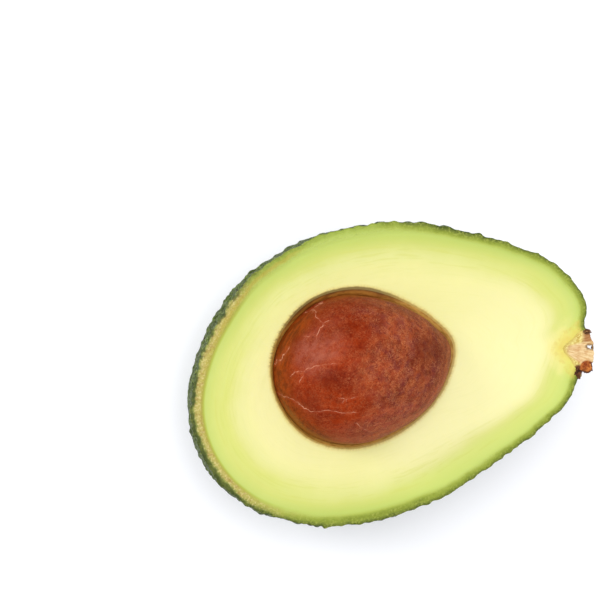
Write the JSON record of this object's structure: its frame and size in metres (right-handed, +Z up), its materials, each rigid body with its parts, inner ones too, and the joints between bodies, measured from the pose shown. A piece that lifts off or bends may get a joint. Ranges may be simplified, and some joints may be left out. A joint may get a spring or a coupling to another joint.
{
  "type": "avocado",
  "caption": "Avocado half lying on its rounded back, cut face up: pebbled skin, flesh with a hollow, an egg-shaped seed standing proud of it, and a woody stem stub cut through at the end.",
  "frame": {"origin": "middle of the small flat spot on the skin's back that the half rests on", "axes": "+Z up, square to the level cut face; +X along the fruit from its blunt end towards the stem; +Y across it"},
  "size_m": [0.1045, 0.0712, 0.0526],
  "materials": {
    "skin": "pebbled, dull sheen",
    "flesh": "smooth, moist, slightly translucent",
    "seed": "smooth, glossy, cracked",
    "stem": "dry, fibrous"
  },
  "bodies": {
    "root": {"skin": "skin", "flesh": "flesh", "seed": "seed", "stem_stub": "stem"}
  },
  "joints": []
}
